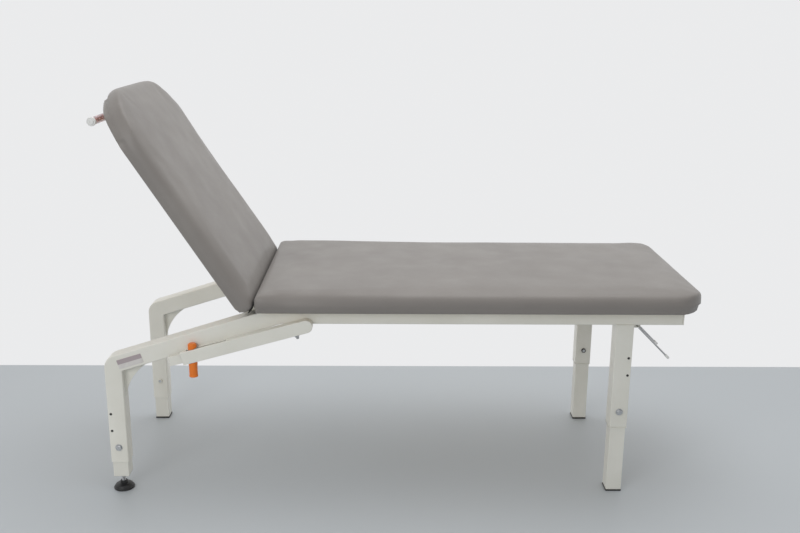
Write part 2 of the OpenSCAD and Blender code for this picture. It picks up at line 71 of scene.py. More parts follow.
def make_camera():
    ahead = Vector((math.sin(CAMERA_YAW) * math.cos(CAMERA_PITCH),
                    math.cos(CAMERA_YAW) * math.cos(CAMERA_PITCH), -math.sin(CAMERA_PITCH)))
    level = Vector((math.cos(CAMERA_YAW), -math.sin(CAMERA_YAW), 0))
    up = level.cross(ahead)
    right = math.cos(CAMERA_ROLL) * level + math.sin(CAMERA_ROLL) * up
    top = math.cos(CAMERA_ROLL) * up - math.sin(CAMERA_ROLL) * level
    data = bpy.data.cameras.new("camera")
    data.lens = CAMERA_LENS
    data.sensor_width = 36
    camera = bpy.data.objects.new("camera", data)
    camera.matrix_world = Matrix.Translation(CAMERA_AT) @ Matrix((right, top, -ahead)).transposed().to_4x4()
    bpy.context.scene.collection.objects.link(camera)
    bpy.context.scene.camera = camera


# ---- Materials ----
class Recipe:
    """A Principled material with its nodes, in object coordinates."""

    def __init__(self, name, metallic=0.0, **sockets):
        self.material = bpy.data.materials.new(name)
        self.material.use_nodes = True
        self.tree = self.material.node_tree
        self.shader = next(n for n in self.tree.nodes if n.type == "BSDF_PRINCIPLED")
        self.shader.inputs["Metallic"].default_value = metallic
        for socket, value in sockets.items():
            self.shader.inputs[socket.replace("_", " ")].default_value = value
        self.place = self.add("ShaderNodeTexCoord").outputs["Object"]

    def add(self, kind, links=(), **values):
        node = self.tree.nodes.new(kind)
        for socket, value in values.items():
            node.inputs[socket.replace("_", " ")].default_value = value
        for socket, output in dict(links).items():
            self.tree.links.new(output, node.inputs[socket])
        return node

    def stretched(self, scale):
        """Object coordinates, squeezed by scale on each axis, for grain that runs one way."""
        return self.add("ShaderNodeMapping", {"Vector": self.place}, Scale=scale).outputs["Vector"]

    def noise(self, scale, detail=2.0, roughness=0.5, place=None):
        links = {"Vector": place or self.place}
        node = self.add("ShaderNodeTexNoise", links, Scale=scale, Detail=detail, Roughness=roughness)
        return node.outputs["Fac"]

    def cells(self, scale, feature="F1", place=None):
        node = self.add("ShaderNodeTexVoronoi", {"Vector": place or self.place}, Scale=scale)
        node.feature = feature
        return node.outputs["Distance"]

    def spread(self, value, low, high, start=0.3, end=0.7):
        node = self.add("ShaderNodeMapRange", {"Value": value})
        for socket, number in zip(("From Min", "From Max", "To Min", "To Max"), (start, end, low, high)):
            node.inputs[socket].default_value = number
        return node.outputs["Result"]

    def blend(self, factor, first, second):
        """Mixes two colours, each an RGB triple or an output of another node."""
        node = self.tree.nodes.new("ShaderNodeMix")
        node.data_type = "RGBA"
        self.tree.links.new(factor, node.inputs["Factor"])
        for socket, color in (("A", first), ("B", second)):
            entry = [i for i in node.inputs if i.name == socket and i.type == "RGBA"][0]
            if isinstance(color, tuple):
                entry.default_value = (*color, 1)
            else:
                self.tree.links.new(color, entry)
        return next(o for o in node.outputs if o.type == "RGBA")

    def color(self, output):
        self.tree.links.new(output, self.shader.inputs["Base Color"])

    def rough(self, output):
        self.tree.links.new(output, self.shader.inputs["Roughness"])

    def bump(self, height, strength, distance):
        """Adds a layer of relief on top of those already there."""
        links = {"Height": height}
        under = self.shader.inputs["Normal"].links
        if under:
            links["Normal"] = under[0].from_socket
        node = self.add("ShaderNodeBump", links, Strength=strength, Distance=distance)
        self.tree.links.new(node.outputs["Normal"], self.shader.inputs["Normal"])


def frame_paint():
    """Powder coat: orange peel, a slightly uneven tone, and faint greyish scuffs."""
    m = Recipe("frame_paint", Coat_Weight=0.12, Coat_Roughness=0.25)
    tone = m.blend(m.spread(m.noise(9, 4), 0, 1), (0.74, 0.727, 0.655), (0.79, 0.778, 0.712))
    scuffs = m.spread(m.noise(34, 6, 0.7, m.stretched((1, 1, 3))), 0, 0.35, 0.68, 0.8)
    m.color(m.blend(scuffs, tone, (0.60, 0.58, 0.52)))
    m.rough(m.spread(m.noise(26, 3), 0.34, 0.46))
    m.bump(m.noise(420, 2), 0.12, 0.0006)
    m.bump(m.noise(60, 2), 0.05, 0.002)
    return m.material


def upholstery():
    """Coated fabric: a pebbled leather grain, soft sheen, and faint handling marks."""
    m = Recipe("upholstery", Sheen_Weight=0.12, Sheen_Roughness=0.5)
    tone = m.blend(m.spread(m.noise(5, 3), 0, 1), (0.232, 0.212, 0.196), (0.262, 0.241, 0.222))
    pores = m.spread(m.cells(620, "DISTANCE_TO_EDGE"), 0.5, 0, 0.0, 0.14)
    m.color(m.blend(pores, tone, (0.175, 0.160, 0.147)))
    m.rough(m.spread(m.noise(14, 4), 0.40, 0.52))
    m.bump(m.cells(620, "DISTANCE_TO_EDGE"), 0.22, 0.0006)
    m.bump(m.noise(150, 4, 0.6), 0.10, 0.001)
    return m.material


def zinc_steel():
    """Zinc plate: fine spangle, with duller patches."""
    m = Recipe("zinc_steel", metallic=1.0)
    spangle = m.spread(m.cells(260), 0, 1, 0.0, 0.9)
    m.color(m.blend(spangle, (0.46, 0.47, 0.48), (0.64, 0.65, 0.66)))
    m.rough(m.spread(m.noise(60, 4), 0.28, 0.48))
    m.bump(m.noise(700, 3), 0.12, 0.0004)
    return m.material


def chrome_steel():
    m = Recipe("chrome_steel", metallic=1.0)
    m.color(m.blend(m.noise(30, 3), (0.50, 0.50, 0.51), (0.66, 0.66, 0.67)))
    m.rough(m.spread(m.noise(90, 4, 0.6, m.stretched((1, 1, 0.1))), 0.14, 0.30))
    m.bump(m.noise(900, 2), 0.05, 0.0002)
    return m.material


def moulded(name, low, high, rough, **sockets):
    """Moulded plastic with a spark-eroded grain and a slightly uneven colour."""
    m = Recipe(name, **sockets)
    m.color(m.blend(m.spread(m.noise(40, 4), 0, 1), low, high))
    m.rough(m.spread(m.noise(120, 3), rough - 0.06, rough + 0.08))
    m.bump(m.noise(1100, 3, 0.6), 0.16, 0.0004)
    m.bump(m.noise(90, 2), 0.05, 0.001)
    return m.material


def plywood():
    """Birch plywood: long face grain with darker streaks."""
    m = Recipe("plywood")
    grain = m.noise(30, 6, 0.6, m.stretched((0.12, 1, 1)))
    streak = m.noise(8, 3, 0.5, m.stretched((0.1, 1, 6)))
    pale = m.blend(m.spread(grain, 0, 1), (0.50, 0.36, 0.20), (0.62, 0.47, 0.29))
    m.color(m.blend(m.spread(streak, 0, 0.6, 0.5, 0.75), pale, (0.34, 0.22, 0.11)))
    m.rough(m.spread(grain, 0.55, 0.75))
    m.bump(grain, 0.2, 0.0006)
    return m.material


def label_foil():
    """A blank printed label: a greyish upper band over a pale field, with no lettering."""
    m = Recipe("label_foil", Coat_Weight=0.3, Coat_Roughness=0.15)
    low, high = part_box("label_plate")
    upright = Vector((-math.sin(BEAM_SLOPE), 0, math.cos(BEAM_SLOPE)))
    middle = upright.dot((low + high) / 2)
    height = m.add("ShaderNodeVectorMath")
    height.operation = "DOT_PRODUCT"
    height.inputs[1].default_value = upright
    m.tree.links.new(m.place, height.inputs[0])
    band = m.spread(height.outputs["Value"], 0, 1, middle - 0.2 * MM, middle + 0.2 * MM)
    pale = m.blend(m.spread(m.noise(70, 3), 0, 1), (0.62, 0.59, 0.57), (0.68, 0.66, 0.63))
    m.color(m.blend(band, pale, (0.40, 0.34, 0.35)))
    m.rough(m.spread(m.noise(200, 2), 0.30, 0.42))
    m.bump(m.noise(500, 2), 0.05, 0.0003)
    return m.material


def bar_sleeve():
    """Tinted clear plastic tube, a little cloudy."""
    m = Recipe("bar_sleeve", Transmission_Weight=0.72, IOR=1.45)
    m.color(m.blend(m.noise(60, 3), (0.84, 0.60, 0.62), (0.90, 0.68, 0.70)))
    m.rough(m.spread(m.noise(110, 3), 0.16, 0.30))
    m.bump(m.noise(300, 2), 0.05, 0.0004)
    return m.material


MATERIALS = {
    "frame_paint": frame_paint(),
    "upholstery": upholstery(),
    "plywood": plywood(),
    "zinc_steel": zinc_steel(),
    "chrome_steel": chrome_steel(),
    "black_plastic": moulded("black_plastic", (0.012, 0.012, 0.013), (0.022, 0.022, 0.023), 0.42),
    "black_steel": moulded("black_steel", (0.02, 0.02, 0.022), (0.03, 0.03, 0.032), 0.3, Coat_Weight=0.3),
    "orange_plastic": moulded("orange_plastic", (0.78, 0.17, 0.008), (0.86, 0.21, 0.015), 0.36),
    "white_plastic": moulded("white_plastic", (0.72, 0.72, 0.70), (0.80, 0.80, 0.78), 0.40),
    "label_foil": label_foil(),
    "bar_sleeve": bar_sleeve(),
    "screw_black": moulded("screw_black", (0.03, 0.03, 0.03), (0.06, 0.058, 0.055), 0.34, metallic=0.6),
}
RED_CORE = moulded("red_core", (0.62, 0.025, 0.04), (0.72, 0.035, 0.05), 0.4)


# ---- Mesh helpers ----
def object_from(name, bm):
    mesh = bpy.data.meshes.new(name)
    bm.to_mesh(mesh)
    bm.free()
    made = bpy.data.objects.new(name, mesh)
    bpy.context.scene.collection.objects.link(made)
    return made


def apply_modifiers(made):
    bpy.context.view_layer.update()
    shown = made.evaluated_get(bpy.context.evaluated_depsgraph_get())
    mesh = bpy.data.meshes.new_from_object(shown)
    made.modifiers.clear()
    made.data = mesh


def smooth_shaded(made, crease=math.radians(32)):
    made.data.polygons.foreach_set("use_smooth", [True] * len(made.data.polygons))
    made.data.set_sharp_from_angle(angle=crease)


def finished(made, body, slot, replaced=(), material=None):
    """Gives a piece its material, from its slot unless one is given, puts it on its body, and hides the CAD nodes
    that it stands for.
    """
    made.data.materials.clear()
    made.data.materials.append(material or MATERIALS[slot])
    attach(made, body)
    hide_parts(*replaced)
    return made


def solid_of(node):
    """A CAD node's mesh as a bmesh, welded, with flat faces whole again."""
    bm = bmesh.new()
    bm.from_mesh(nodes[node].data)
    bmesh.ops.remove_doubles(bm, verts=bm.verts, dist=0.01 * MM)
    whole_faces(bm)
    return bm


def whole_faces(bm):
    bmesh.ops.dissolve_limit(bm, angle_limit=math.radians(1), verts=bm.verts, edges=bm.edges)


def rounded(made, width, smallest=3 * MM * MM):
    """Rounds a mesh's sharp edges, apart from those at small bores."""
    bm = bmesh.new()
    bm.from_mesh(made.data)
    weight = bm.edges.layers.float.new("bevel_weight_edge")
    for edge in bm.edges:
        if len(edge.link_faces) == 2 and edge.calc_face_angle(0) > math.radians(32):
            if min(face.calc_area() for face in edge.link_faces) > smallest:
                edge[weight] = 1
    bm.to_mesh(made.data)
    bm.free()
    bevel = made.modifiers.new("bevel", "BEVEL")
    bevel.limit_method = "WEIGHT"
    bevel.width = width
    bevel.segments = 3
    bevel.use_clamp_overlap = False
    apply_modifiers(made)
    smooth_shaded(made)
    made.modifiers.new("normals", "WEIGHTED_NORMAL").keep_sharp = True
    apply_modifiers(made)


def refined(node, width):
    """A CAD node again, with its edges rounded as on the real piece."""
    made = object_from(f"{node}_shape", solid_of(node))
    rounded(made, width)
    return finished(made, body_of_node[node], slot_of_node[node], [node])


def frame_of(direction):
    """Two unit vectors square to a direction and to each other."""
    along = direction.normalized()
    side = along.cross(Z if abs(along.z) < 0.9 else X).normalized()
    return side, side.cross(along)


def revolve(bm, profile, base, axis, steps=48, turn=0.0):
    """Adds a closed turned solid. profile is a list of (radius, height) from its base to its top."""
    side, other = frame_of(axis)
    along = axis.normalized()
    rings = []
    for radius, height in profile:
        centre = base + along * height
        if radius < 1e-6:
            rings.append([bm.verts.new(centre)])
            continue
        angles = [turn + math.tau * i / steps for i in range(steps)]
        rings.append([bm.verts.new(centre + radius * (math.cos(a) * side + math.sin(a) * other))
                      for a in angles])
    for low, high in zip(rings, rings[1:]):
        for i in range(steps if len(low) + len(high) > 2 else 0):
            j = (i + 1) % steps
            corners = [low[i % len(low)], low[j % len(low)], high[j % len(high)], high[i % len(high)]]
            bm.faces.new(list(dict.fromkeys(corners)))


def sweep(bm, points, radius, steps=14, closed=False, swell=None):
    """Adds a round wire along points. swell(i) scales its radius at point i."""
    count = len(points)
    side = None
    rings = []
    for i, point in enumerate(points):
        before = points[(i - 1) % count] if closed or i else point
        after = points[(i + 1) % count] if closed or i < count - 1 else point
        along = (after - before).normalized()
        side = frame_of(along)[0] if side is None else (side - along * side.dot(along)).normalized()
        other = along.cross(side)
        size = radius * (swell(i) if swell else 1)
        angles = [math.tau * k / steps for k in range(steps)]
        rings.append([bm.verts.new(point + size * (math.cos(a) * side + math.sin(a) * other))
                      for a in angles])
    pairs = list(zip(rings, rings[1:])) + ([(rings[-1], rings[0])] if closed else [])
    for low, high in pairs:
        for k in range(steps):
            j = (k + 1) % steps
            bm.faces.new([low[k], low[j], high[j], high[k]])
    if not closed:
        bm.faces.new(rings[0][::-1])
        bm.faces.new(rings[-1])


def piece(name, bm, body, slot, replaced=(), material=None, crease=math.radians(32)):
    """Turns a bmesh into a finished piece with smooth shading."""
    bmesh.ops.recalc_face_normals(bm, faces=bm.faces)
    made = object_from(name, bm)
    smooth_shaded(made, crease)
    return finished(made, body, slot, replaced, material)


def arc(radius, start, end, steps=8):
    """Points (cos, sin) times radius, from one angle to another, in degrees."""
    angles = [math.radians(start + (end - start) * i / steps) for i in range(steps + 1)]
    return [(radius * math.cos(a), radius * math.sin(a)) for a in angles]


def helix(start, axis, radius, length, turns, steps=20):
    side, other = frame_of(axis)
    along = axis.normalized()
    count = int(turns * steps)
    return [start + along * (length * i / count)
            + radius * (math.cos(math.tau * i / steps) * side + math.sin(math.tau * i / steps) * other)
            for i in range(count + 1)]


# ---- Cushions ----
HINGE = Vector(joints["backrest_hinge"]["pos_m"])
BACK_ANGLE = math.radians(-joints["backrest_hinge"]["range_deg"][0])
TO_RAISED = Matrix.Translation(HINGE) @ Matrix.Rotation(BACK_ANGLE, 4, "Y") @ Matrix.Translation(-HINGE)
VOXEL = 6 * MM
SHRINK = 1.5 * MM
TUCK = 8 * MM
SMOOTHING = 7
BOARD_T = 12 * MM


def fade(value, start, end):
    """0 at start, 1 at end, smooth between."""
    t = min(1, max(0, (value - start) / (end - start)))
    return t * t * (3 - 2 * t)


class Pad:
    """One cushion in its flat position, and how far each of its points may swell."""

    def __init__(self, low, high, hinge_end, slots):
        self.low, self.high = low, high
        self.hinge_x = high.x if hinge_end > 0 else low.x
        self.slots = slots

    def free(self, p):
        """0 where the cover is held, by the board or at the hinge, and 1 where it is free."""
        free = fade(p.z, self.low.z + 3 * MM, self.low.z + 16 * MM)
        free *= fade(abs(p.x - self.hinge_x), 3 * MM, 70 * MM)
        inside = (self.low.x + 10 * MM < p.x < self.high.x - 10 * MM
                  and abs(p.y) < self.high.y - 10 * MM and p.z < self.low.z + BOARD_T + 5 * MM)
        if inside:
            return 0
        for low, high in self.slots:
            if low < abs(p.y) < high and abs(p.x - self.hinge_x) < 115 * MM and p.z < self.low.z + 52 * MM:
                return 0
        return free

    def swell(self, p):
        """How far a point may move from the shrunk start: least at the edges, most on the crown."""
        across = 2 * p.y / (self.high.y - self.low.y)
        along = (2 * p.x - self.low.x - self.high.x) / (self.high.x - self.low.x)
        crown = max(0, 1 - across ** 2) * max(0, 1 - along ** 4)
        top = fade(p.z, self.low.z + 35 * MM, self.high.z - 4 * MM)
        return self.free(p) * (4.2 * MM + 4.5 * MM * crown * top)


def inflated(made, pad):
    """Swells a shrunk cushion under pressure and caps how far each point moves."""
    before = [(v.co.copy(), v.normal.copy(), pad.free(v.co)) for v in made.data.vertices]
    start = [p - n * SHRINK * free for p, n, free in before]
    made.data.vertices.foreach_set("co", [c for p in start for c in p])
    made.data.update()
    held = made.vertex_groups.new(name="held")
    for i, (_, _, free) in enumerate(before):
        held.add([i], 1 - free, "REPLACE")
    cloth = made.modifiers.new("cloth", "CLOTH")
    cloth.settings.quality = 4
    cloth.settings.use_pressure = True
    cloth.settings.uniform_pressure_force = 4
    cloth.settings.effector_weights.gravity = 0
    cloth.settings.vertex_group_mass = "held"
    cloth.collision_settings.use_collision = False
    for step in range(1, 21):
        bpy.context.scene.frame_set(step)
    apply_modifiers(made)
    bpy.context.scene.frame_set(1)
    ends = [vertex.co.copy() for vertex in made.data.vertices]
    settled = []
    for first, last in zip(start, ends):
        moved = last - first
        limit = pad.swell(first)
        settled.append(first + moved * min(1, limit / max(moved.length, 1e-9)))
    made.data.vertices.foreach_set("co", [c for p in settled for c in p])
    made.data.update()


def tucked(bm, pad):
    """Draws the lower rim in, where the cover is pulled round under the board."""
    side = pad.high.y
    end = pad.low.x + pad.high.x - pad.hinge_x
    outwards = 1 if end > pad.hinge_x else -1
    for vertex in bm.verts:
        p = vertex.co
        depth = TUCK * fade(p.z, pad.low.z + 28 * MM, pad.low.z + 2 * MM)
        if abs(p.y) > side - 60 * MM:
            p.y -= math.copysign(depth * fade(abs(p.y), side - 60 * MM, side - 12 * MM), p.y)
        p.x -= outwards * depth * fade(abs(p.x - end), 60 * MM, 12 * MM)


def lengthened(bm, pad):
    """Gives the free end back the length that smoothing took from it."""
    end = pad.low.x + pad.high.x - pad.hinge_x
    length = abs(end - pad.hinge_x)
    gap = length - max(abs(vertex.co.x - pad.hinge_x) for vertex in bm.verts)
    for vertex in bm.verts:
        reach = fade(abs(vertex.co.x - pad.hinge_x), 0.5 * length, length)
        vertex.co.x += math.copysign(gap * reach * pad.free(vertex.co), end - pad.hinge_x)


def puckered(bm, pad):
    """Small gathers where the cover is pulled round and under each corner at the hinge end."""
    for y in (pad.low.y, pad.high.y):
        corner = Vector((pad.hinge_x, y, 0))
        near = lambda p: math.hypot(p.x - corner.x, p.y - corner.y) < 62 * MM and p.z < pad.low.z + 30 * MM
        edges = [e for e in bm.edges if all(near(v.co) for v in e.verts)]
        bmesh.ops.subdivide_edges(bm, edges=edges, cuts=2, use_grid_fill=True)
        bm.normal_update()
        for vertex in bm.verts:
            p = vertex.co
            reach = math.hypot(p.x - corner.x, p.y - corner.y)
            if reach < 55 * MM and p.z > pad.low.z + 1 * MM:
                height = fade(p.z, pad.low.z + 28 * MM, pad.low.z + 4 * MM)
                depth = 1.5 * MM * fade(reach, 55 * MM, 12 * MM) * height
                run = abs(p.x - corner.x) - abs(p.y - corner.y) + 0.3 * (p.z - pad.low.z)
                vertex.co -= vertex.normal * depth * (0.5 + 0.5 * math.sin(math.tau * run / (11 * MM)))


def cushion(name, node, body, pad, back_to_place, hinge_gathers):
    bm = solid_of(node)
    bm.transform(back_to_place.inverted())
    bmesh.ops.triangulate(bm, faces=bm.faces)
    made = object_from(name, bm)
    remesh = made.modifiers.new("remesh", "REMESH")
    remesh.mode = "VOXEL"
    remesh.voxel_size = VOXEL
    apply_modifiers(made)
    inflated(made, pad)
    bm = bmesh.new()
    bm.from_mesh(made.data)
    soft = [v for v in bm.verts if pad.free(v.co) > 0.02]
    for _ in range(SMOOTHING):
        bmesh.ops.smooth_vert(bm, verts=soft, factor=0.5, use_axis_x=True, use_axis_y=True, use_axis_z=True)
    tucked(bm, pad)
    lengthened(bm, pad)
    bm.normal_update()
    for vertex in soft:
        ripple = noise.noise(vertex.co * 9) * 0.5 * MM + noise.noise(vertex.co * 24) * 0.2 * MM
        vertex.co += vertex.normal * ripple * pad.free(vertex.co)
    if hinge_gathers:
        puckered(bm, pad)
    bm.transform(back_to_place)
    bm.to_mesh(made.data)
    bm.free()
    made.vertex_groups.clear()
    smooth_shaded(made, math.radians(60))
    finished(made, body, "upholstery", [node])


def make_cushions():
    low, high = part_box("seat_cushion")
    cushion("seat_pad", "seat_cushion", "frame", Pad(low, high, -1, []), Matrix.Identity(4), True)
    flat = [TO_RAISED.inverted() @ v.co for v in nodes["back_cushion"].data.vertices]
    low = Vector(min(p[i] for p in flat) for i in range(3))
    high = Vector(max(p[i] for p in flat) for i in range(3))
    slots = [(180 * MM, 214 * MM)]
    cushion("back_pad", "back_cushion", "backrest", Pad(low, high, 1, slots), TO_RAISED, False)


# ---- Frame ----
ELBOW_R = 38 * MM
TUBE_WALL = 2.5 * MM
LEG_SPARE = 20 * MM


def bored(made, low, high, top):
    """Opens a leg from below: trims its end square and sinks a square bore up to top."""
    bm = bmesh.new()
    bm.from_mesh(made.data)
    geometry = bm.verts[:] + bm.edges[:] + bm.faces[:]
    bmesh.ops.bisect_plane(bm, geom=geometry, plane_co=(0, 0, low.z), plane_no=(0, 0, -1), clear_outer=True)
    rim = [edge for edge in bm.edges if edge.is_boundary]
    corners = [(x, y) for x, y in ((low.x, low.y), (high.x, low.y), (high.x, high.y), (low.x, high.y))]
    middle = (low + high) / 2
    inset = [(x + math.copysign(TUBE_WALL, middle.x - x), y + math.copysign(TUBE_WALL, middle.y - y))
             for x, y in corners]
    mouth, end = [[bm.verts.new((x, y, z)) for x, y in inset] for z in (low.z, top)]
    for i in range(4):
        j = (i + 1) % 4
        bm.faces.new([mouth[i], end[i], end[j], mouth[j]])
    bm.faces.new(end)
    lips = [edge for edge in bm.edges if edge.is_boundary and edge not in rim]
    bmesh.ops.bridge_loops(bm, edges=rim + lips)
    bmesh.ops.recalc_face_normals(bm, faces=bm.faces)
    bm.to_mesh(made.data)
    bm.free()
    made.data.set_sharp_from_angle(angle=math.radians(32))


def welded_side(side):
    """One side of the frame: its head leg, elbow, sloped beam and rail, welded and painted as one."""
    leg_low, leg_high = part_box(f"{side}_head_leg")
    rail_low, rail_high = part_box(f"{side}_rail")
    drop = (leg_high.x - leg_low.x) / math.cos(BEAM_SLOPE)
    rise = math.tan(BEAM_SLOPE)
    mitre_top = leg_high.x + (rail_high.z - leg_high.z) / rise
    mitre_low = leg_high.x + (rail_low.z + drop - leg_high.z) / rise
    elbow_x = leg_low.x + ELBOW_R
    elbow_z = leg_high.z + (elbow_x - leg_high.x) * rise - ELBOW_R / math.cos(BEAM_SLOPE)
    elbow = [(elbow_x + u, elbow_z + v) for u, v in arc(ELBOW_R, 180, 90 + math.degrees(BEAM_SLOPE), 14)]
    outline = [(leg_low.x, leg_low.z - LEG_SPARE), *elbow, (mitre_top, rail_high.z),
               (rail_high.x, rail_high.z), (rail_high.x, rail_low.z), (mitre_low, rail_low.z),
               (leg_high.x, leg_high.z - drop), (leg_high.x, leg_low.z - LEG_SPARE)]
    bm = bmesh.new()
    near, far = [[bm.verts.new((x, y, z)) for x, z in outline] for y in (leg_low.y, leg_high.y)]
    bm.faces.new(near)
    bm.faces.new(far[::-1])
    for i in range(len(outline)):
        j = (i + 1) % len(outline)
        bm.faces.new([near[i], far[i], far[j], near[j]])
    bmesh.ops.recalc_face_normals(bm, faces=bm.faces)
    made = object_from(f"{side}_side_frame", bm)
    rounded(made, 3.2 * MM)
    bored(made, leg_low, leg_high, elbow_z - 12 * MM)
    parts = [f"{side}_rail", f"{side}_beam", f"{side}_head_leg"]
    return finished(made, "frame", "frame_paint", parts)


EDGE_RADII = {
    "right_foot_leg": 3, "left_foot_leg": 3, "hinge_crossbar": 2.2, "middle_crossbar": 2.2,
    "foot_crossbar": 2.2, "head_gussets": 1, "rail_plugs": 1.2, "hinge_lugs": 0.9,
    "back_hinge_plates": 0.9, "lift_levers": 0.8, "lift_pin": 0.6, "hinge_pins": 0.8, "rod_fork": 1,
    "gas_end_cap": 0.8, "valve_lever": 1, "release_guide": 1.6, "guide_plug": 0.6, "release_bar": 1,
    "right_head_inner": 1.6, "left_head_inner": 1.6, "right_foot_inner": 1.6,
    "left_foot_inner": 1.6, "left_head_cap": 1.4, "right_foot_cap": 1.4, "left_foot_cap": 1.4,
    "level_insert": 0.6, "bar_brackets": 1, "hanger_bracket": 1, "label_plate": 0.3,
    "seat_board": 0.8, "back_board": 0.8,
}


# ---- Fastenings ----
def hex_head(bm, base, axis, radius, height, turn=0.0):
    """A hexagonal head with a washer face and a chamfered top."""
    chamfer = 0.14 * radius
    revolve(bm, [(0, 0), (radius * 0.84, 0), (radius * 0.84, 0.6 * MM)], base, axis, 36)
    washer = 0.6 * MM
    profile = [(0, washer), (radius * 0.93, washer), (radius, washer + chamfer * 0.4),
               (radius, height - chamfer * 0.4), (radius - chamfer, height), (0, height)]
    revolve(bm, profile, base, axis, 6, turn)


def threaded(radius, start, end, pitch):
    """The profile of a thread: a row of ridges from start to end."""
    depth = 0.5 * pitch
    profile = []
    for i in range(int((end - start) / pitch)):
        height = start + i * pitch
        profile += [(radius - depth, height), (radius, height + 0.4 * pitch), (radius, height + 0.55 * pitch)]
    return profile + [(radius - depth, end)]


def leg_centres():
    """The place of each leg bolt, and which way its head faces."""
    for end in ("head", "foot"):
        for side, sign in (("right", -1), ("left", 1)):
            low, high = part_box(f"{side}_{end}_leg")
            centre_x = low.x + 25 * MM
            outer_y = low.y if sign < 0 else high.y
            inner_y = high.y if sign < 0 else low.y
            yield end, sign, centre_x, outer_y, inner_y


BOLT_Z = {"head": 139 * MM, "foot": 253 * MM}
SCREW_X = {"head": -16 * MM, "foot": 16 * MM}
SCREW_Z = {"head": 191 * MM, "foot": 365 * MM}
SCREW_PITCH = 52 * MM


def make_leg_fastenings():
    bolts, screws = bmesh.new(), bmesh.new()
    nuts = {"head": bmesh.new(), "foot": bmesh.new()}
    for end, sign, x, outer_y, inner_y in leg_centres():
        out = Y * sign
        head = Vector((x, outer_y, BOLT_Z[end]))
        washer = [(0, 0), (10 * MM, 0), (10.4 * MM, 0.5 * MM), (10 * MM, 1.3 * MM), (0, 1.3 * MM)]
        revolve(bolts, washer, head, out, 40)
        hex_head(bolts, head + out * 1.3 * MM, out, 8.4 * MM, 5.2 * MM, 0.3)
        tail = [(0, 0), *threaded(5 * MM, 0, 6 * MM, 1.5 * MM), (0, 6.4 * MM)]
        revolve(bolts, tail, Vector((x, inner_y, BOLT_Z[end])), -out, 28)
        nut = Vector((x, inner_y, BOLT_Z[end]))
        ring = [(5.1 * MM, 0.2 * MM), (8 * MM, 0.2 * MM), (8 * MM, 4.8 * MM),
                (7.2 * MM, 5.6 * MM), (5.1 * MM, 5.6 * MM)]
        revolve(nuts[end], ring + ring[:1], nut, -out, 6, 0.2)
        for i in range(2):
            place = Vector((x + SCREW_X[end], outer_y, SCREW_Z[end] + i * SCREW_PITCH))
            button_head(screws, place, out, 3.8 * MM, 1.6 * MM)
    piece("leg_bolt_set", bolts, "frame", "zinc_steel", ["leg_bolts"], crease=math.radians(24))
    piece("head_nut_set", nuts["head"], "frame", "frame_paint", ["leg_nuts"], crease=math.radians(24))
    piece("foot_nut_set", nuts["foot"], "frame", "screw_black", ["leg_nuts"], crease=math.radians(24))
    piece("leg_screw_set", screws, "frame", "screw_black", ["leg_screws"])


def button_head(bm, base, axis, radius, height):
    """A low domed screw head with a round socket recess."""
    socket = 0.42 * radius
    dome = [(radius * math.cos(a), height * math.sin(a)) for a in (0, 0.35, 0.7, 1.05)]
    sunk = [(socket, height), (socket * 0.95, height * 0.35), (0, height * 0.35)]
    revolve(bm, [(0, 0), *dome, *sunk], base, axis, 30)


def make_under_screws():
    """Screws that hold the boards to the crossbars, the hinge plates and the bar brackets."""
    for node, body in (("seat_screws", "frame"), ("back_screws", "backrest")):
        bm = bmesh.new()
        source = solid_of(node)
        islands = island_centres(source)
        source.free()
        down = -Z if body == "frame" else (TO_RAISED.to_3x3() @ -Z)
        for centre in islands:
            button_head(bm, centre - down * 1 * MM, down, 3.9 * MM, 2 * MM)
        piece(f"{node}_set", bm, body, "zinc_steel", [node])


def island_centres(bm):
    """The centre of each separate solid of a bmesh."""
    left = set(bm.verts)
    centres = []
    while left:
        stack, found = [left.pop()], []
        while stack:
            vertex = stack.pop()
            found.append(vertex.co)
            for edge in vertex.link_edges:
                other = edge.other_vert(vertex)
                if other in left:
                    left.remove(other)
                    stack.append(other)
        centres.append(sum(found, Vector()) / len(found))
    return sorted(centres, key=lambda p: (round(p.x, 4), round(p.y, 4)))


# ---- Welds ----
def bead(bm, points, radius=1.9 * MM, closed=False):
    """A weld bead: a wire whose thickness ripples as the stitches of a weld do."""
    path = []
    for a, b in zip(points, points[1:] + (points[:1] if closed else [])):
        count = max(2, int((b - a).length / (2.2 * MM)))
        path += [a.lerp(b, i / count) for i in range(count)]
    if not closed:
        path.append(points[-1])
    sweep(bm, path, radius, 8, closed, lambda i: 0.86 + 0.14 * math.sin(1.9 * i))


def rectangle(low, high, fixed, value):
    """The corners of a rectangle square to one axis, at value."""
    u, v = [i for i in range(3) if i != fixed]
    corners = []
    for a, b in ((low[u], low[v]), (high[u], low[v]), (high[u], high[v]), (low[u], high[v])):
        corner = Vector((0, 0, 0))
        corner[fixed], corner[u], corner[v] = value, a, b
        corners.append(corner)
    return corners


def make_welds():
    bm = bmesh.new()
    rail_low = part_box("right_rail")[0].z
    for side in ("right", "left"):
        low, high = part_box(f"{side}_foot_leg")
        bead(bm, rectangle(low, high, 2, rail_low), closed=True)
    for bar in ("hinge_crossbar", "middle_crossbar", "foot_crossbar"):
        low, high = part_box(bar)
        for y in (low.y, high.y):
            corners = rectangle(low, high, 1, y)
            bead(bm, [corners[3], corners[0], corners[1], corners[2]])
    low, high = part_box("head_gussets")
    slope = math.tan(BEAM_SLOPE)
    for sign in (-1, 1):
        for face in (-3 * MM, 3 * MM):
            y = sign * 254 * MM + face
            corner_z = high.z - (high.x - low.x) * slope
            upright = [Vector((low.x, y, low.z + 4 * MM)), Vector((low.x, y, corner_z))]
            sloped = [Vector((low.x, y, corner_z)), Vector((high.x - 4 * MM, y, high.z - 4 * MM * slope))]
            bead(bm, upright)
            bead(bm, sloped)
    piece("weld_beads", bm, "frame", "frame_paint")


